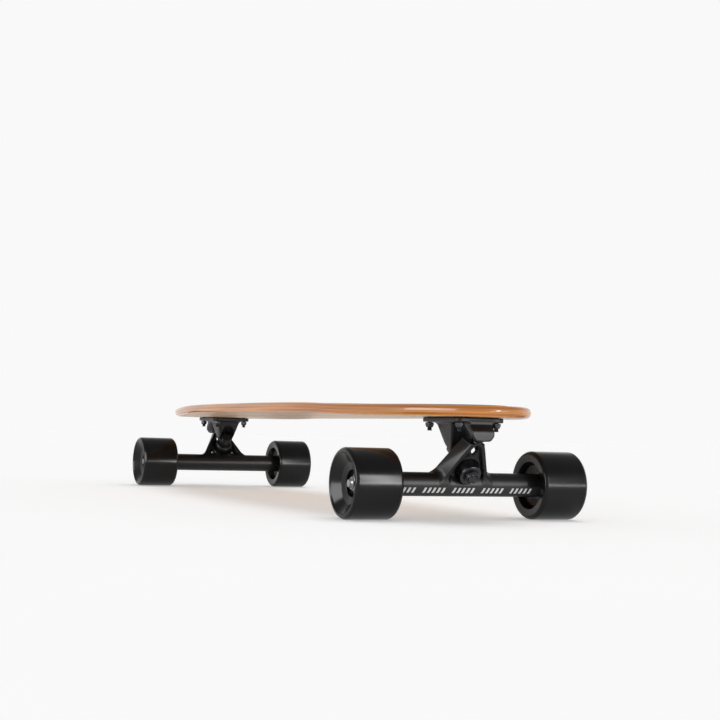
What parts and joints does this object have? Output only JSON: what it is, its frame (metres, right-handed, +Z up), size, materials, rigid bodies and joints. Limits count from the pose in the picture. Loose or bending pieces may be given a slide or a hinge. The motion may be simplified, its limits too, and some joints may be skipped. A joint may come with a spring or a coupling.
{
  "type": "skateboard",
  "caption": "Longboard skateboard: laminated wooden deck on two reverse-kingpin steering trucks with urethane wheels that spin freely.",
  "frame": {"origin": "on the ground, below the middle of the deck", "axes": "+X along the deck to the nose, +Y to the rider's left, +Z up"},
  "size_m": [0.904, 0.26, 0.1168],
  "materials": {
    "varnished_ply": "varnished laminated maple, edges rounded and stained orange-brown, paler underside",
    "grip": "black gritted grip sheet",
    "black_casting": "satin black painted aluminium casting",
    "black_steel": "black oxide steel",
    "bright_steel": "zinc-plated steel",
    "black_urethane": "satin black cast urethane",
    "bushing_urethane": "black urethane"
  },
  "bodies": {
    "root": {"deck": "varnished_ply", "grip_tape": "grip", "front_baseplate": "black_casting", "front_pivot_cup": "bushing_urethane", "front_kingpin": "black_steel", "front_kingpin_nut": "black_steel", "front_board_bushing": "bushing_urethane", "front_road_bushing": "bushing_urethane", "front_board_washer": "black_steel", "front_road_washer": "black_steel", "front_1_deck_bolt": "black_steel", "front_1_deck_nut": "black_steel", "front_2_deck_bolt": "black_steel", "front_2_deck_nut": "black_steel", "front_3_deck_bolt": "black_steel", "front_3_deck_nut": "black_steel", "front_4_deck_bolt": "black_steel", "front_4_deck_nut": "black_steel", "rear_baseplate": "black_casting", "rear_pivot_cup": "bushing_urethane", "rear_kingpin": "black_steel", "rear_kingpin_nut": "black_steel", "rear_board_bushing": "bushing_urethane", "rear_road_bushing": "bushing_urethane", "rear_board_washer": "black_steel", "rear_road_washer": "black_steel", "rear_1_deck_bolt": "black_steel", "rear_1_deck_nut": "black_steel", "rear_2_deck_bolt": "black_steel", "rear_2_deck_nut": "black_steel", "rear_3_deck_bolt": "black_steel", "rear_3_deck_nut": "black_steel", "rear_4_deck_bolt": "black_steel", "rear_4_deck_nut": "black_steel"},
    "front_hanger": {"front_hanger": "black_casting", "front_axle": "bright_steel", "front_left_axle_nut": "bright_steel", "front_left_bearing_spacer": "bright_steel", "front_right_axle_nut": "bright_steel", "front_right_bearing_spacer": "bright_steel"},
    "front_left_wheel": {"front_left_wheel": "black_urethane", "front_left_inner_bearing": "bright_steel", "front_left_outer_bearing": "bright_steel"},
    "front_right_wheel": {"front_right_wheel": "black_urethane", "front_right_inner_bearing": "bright_steel", "front_right_outer_bearing": "bright_steel"},
    "rear_hanger": {"rear_hanger": "black_casting", "rear_axle": "bright_steel", "rear_left_axle_nut": "bright_steel", "rear_left_bearing_spacer": "bright_steel", "rear_right_axle_nut": "bright_steel", "rear_right_bearing_spacer": "bright_steel"},
    "rear_left_wheel": {"rear_left_wheel": "black_urethane", "rear_left_inner_bearing": "bright_steel", "rear_left_outer_bearing": "bright_steel"},
    "rear_right_wheel": {"rear_right_wheel": "black_urethane", "rear_right_inner_bearing": "bright_steel", "rear_right_outer_bearing": "bright_steel"}
  },
  "joints": [
    {"name": "front_steer", "type": "hinge", "parent": "root", "child": "front_hanger", "pos_m": [0.3816, 0, 0.05405], "axis": [0.7071, 0, 0.7071], "range_deg": [-15, 15], "stiffness_Nm_per_rad": 90, "deforming": ["front_board_bushing", "front_road_bushing"]},
    {"name": "front_left_spin", "type": "hinge", "parent": "front_hanger", "child": "front_left_wheel", "pos_m": [0.3725, 0.1045, 0.035], "axis": [0, 1, 0], "continuous": true},
    {"name": "front_right_spin", "type": "hinge", "parent": "front_hanger", "child": "front_right_wheel", "pos_m": [0.3725, -0.1045, 0.035], "axis": [0, 1, 0], "continuous": true},
    {"name": "rear_steer", "type": "hinge", "parent": "root", "child": "rear_hanger", "pos_m": [-0.3816, 0, 0.05405], "axis": [-0.7071, 0, 0.7071], "range_deg": [-15, 15], "stiffness_Nm_per_rad": 90, "deforming": ["rear_board_bushing", "rear_road_bushing"]},
    {"name": "rear_left_spin", "type": "hinge", "parent": "rear_hanger", "child": "rear_left_wheel", "pos_m": [-0.3725, 0.1045, 0.035], "axis": [0, 1, 0], "continuous": true},
    {"name": "rear_right_spin", "type": "hinge", "parent": "rear_hanger", "child": "rear_right_wheel", "pos_m": [-0.3725, -0.1045, 0.035], "axis": [0, 1, 0], "continuous": true}
  ]
}
